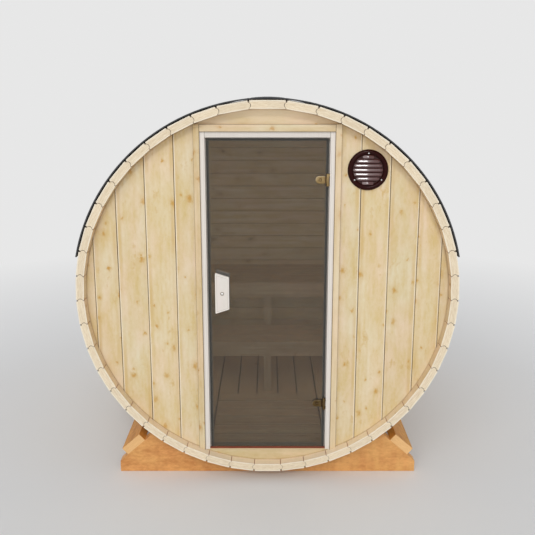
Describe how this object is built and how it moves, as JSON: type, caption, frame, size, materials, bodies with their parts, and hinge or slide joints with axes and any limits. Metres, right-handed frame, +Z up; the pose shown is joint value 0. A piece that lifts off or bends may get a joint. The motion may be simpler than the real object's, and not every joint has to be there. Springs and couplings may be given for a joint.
{
  "type": "barrel sauna",
  "caption": "Wooden barrel sauna lying on cradles, with a hinged tinted-glass door and a round vent in its front wall and stepped benches inside.",
  "frame": {"origin": "on the ground under the middle of the barrel", "axes": "+Z up, +Y from the door end to the back, +X to the right as seen from the door end"},
  "size_m": [1.9824, 2.062, 2.0513],
  "materials": {
    "stave_wood": "planed",
    "wall_wood": "planed",
    "post_wood": "planed",
    "frame_white": "painted",
    "cradle_wood": "oiled",
    "bench_wood": "planed",
    "hoop_steel": "brushed",
    "roof_felt": "granular",
    "threshold_strip": "stained",
    "seal_rubber": "matt",
    "tinted_glass": "polished",
    "handle_wood": "planed",
    "hinge_brass": "satin",
    "vent_plastic": "glossy"
  },
  "bodies": {
    "cabin": {"back_wall": "wall_wood", "bench_legs": "bench_wood", "crown_staves": "stave_wood", "door_seal": "seal_rubber", "duckboard_runners": "bench_wood", "duckboard_slats": "bench_wood", "floor_staves": "stave_wood", "frame_head": "frame_white", "front_cradle": "cradle_wood", "front_wall_left": "wall_wood", "front_wall_right": "wall_wood", "head_board": "post_wood", "hoops": "hoop_steel", "left_jamb": "frame_white", "left_lower_staves": "stave_wood", "left_post": "post_wood", "left_rail": "cradle_wood", "left_side_staves": "stave_wood", "left_upper_staves": "stave_wood", "lower_bench_apron": "bench_wood", "lower_bench_bearers": "bench_wood", "lower_bench_seat": "bench_wood", "lower_hinge_leaf": "hinge_brass", "rear_cradle": "cradle_wood", "right_jamb": "frame_white", "right_lower_staves": "stave_wood", "right_post": "post_wood", "right_rail": "cradle_wood", "right_side_staves": "stave_wood", "right_upper_staves": "stave_wood", "roof_cover": "roof_felt", "threshold": "threshold_strip", "upper_bench_apron": "bench_wood", "upper_bench_bearers": "bench_wood", "upper_bench_seat": "bench_wood", "upper_hinge_leaf": "hinge_brass", "vent_grille": "vent_plastic", "wall_lintel": "wall_wood", "wall_sill": "wall_wood"},
    "door": {"door_glass": "tinted_glass", "outer_handle": "handle_wood", "inner_handle": "handle_wood", "upper_hinge_clamp": "hinge_brass", "lower_hinge_clamp": "hinge_brass"}
  },
  "joints": [
    {"name": "door_swing", "type": "hinge", "parent": "cabin", "child": "door", "pos_m": [0.303, -0.9765, 1.018], "axis": [0, 0, 1], "range_deg": [0, 110]}
  ]
}
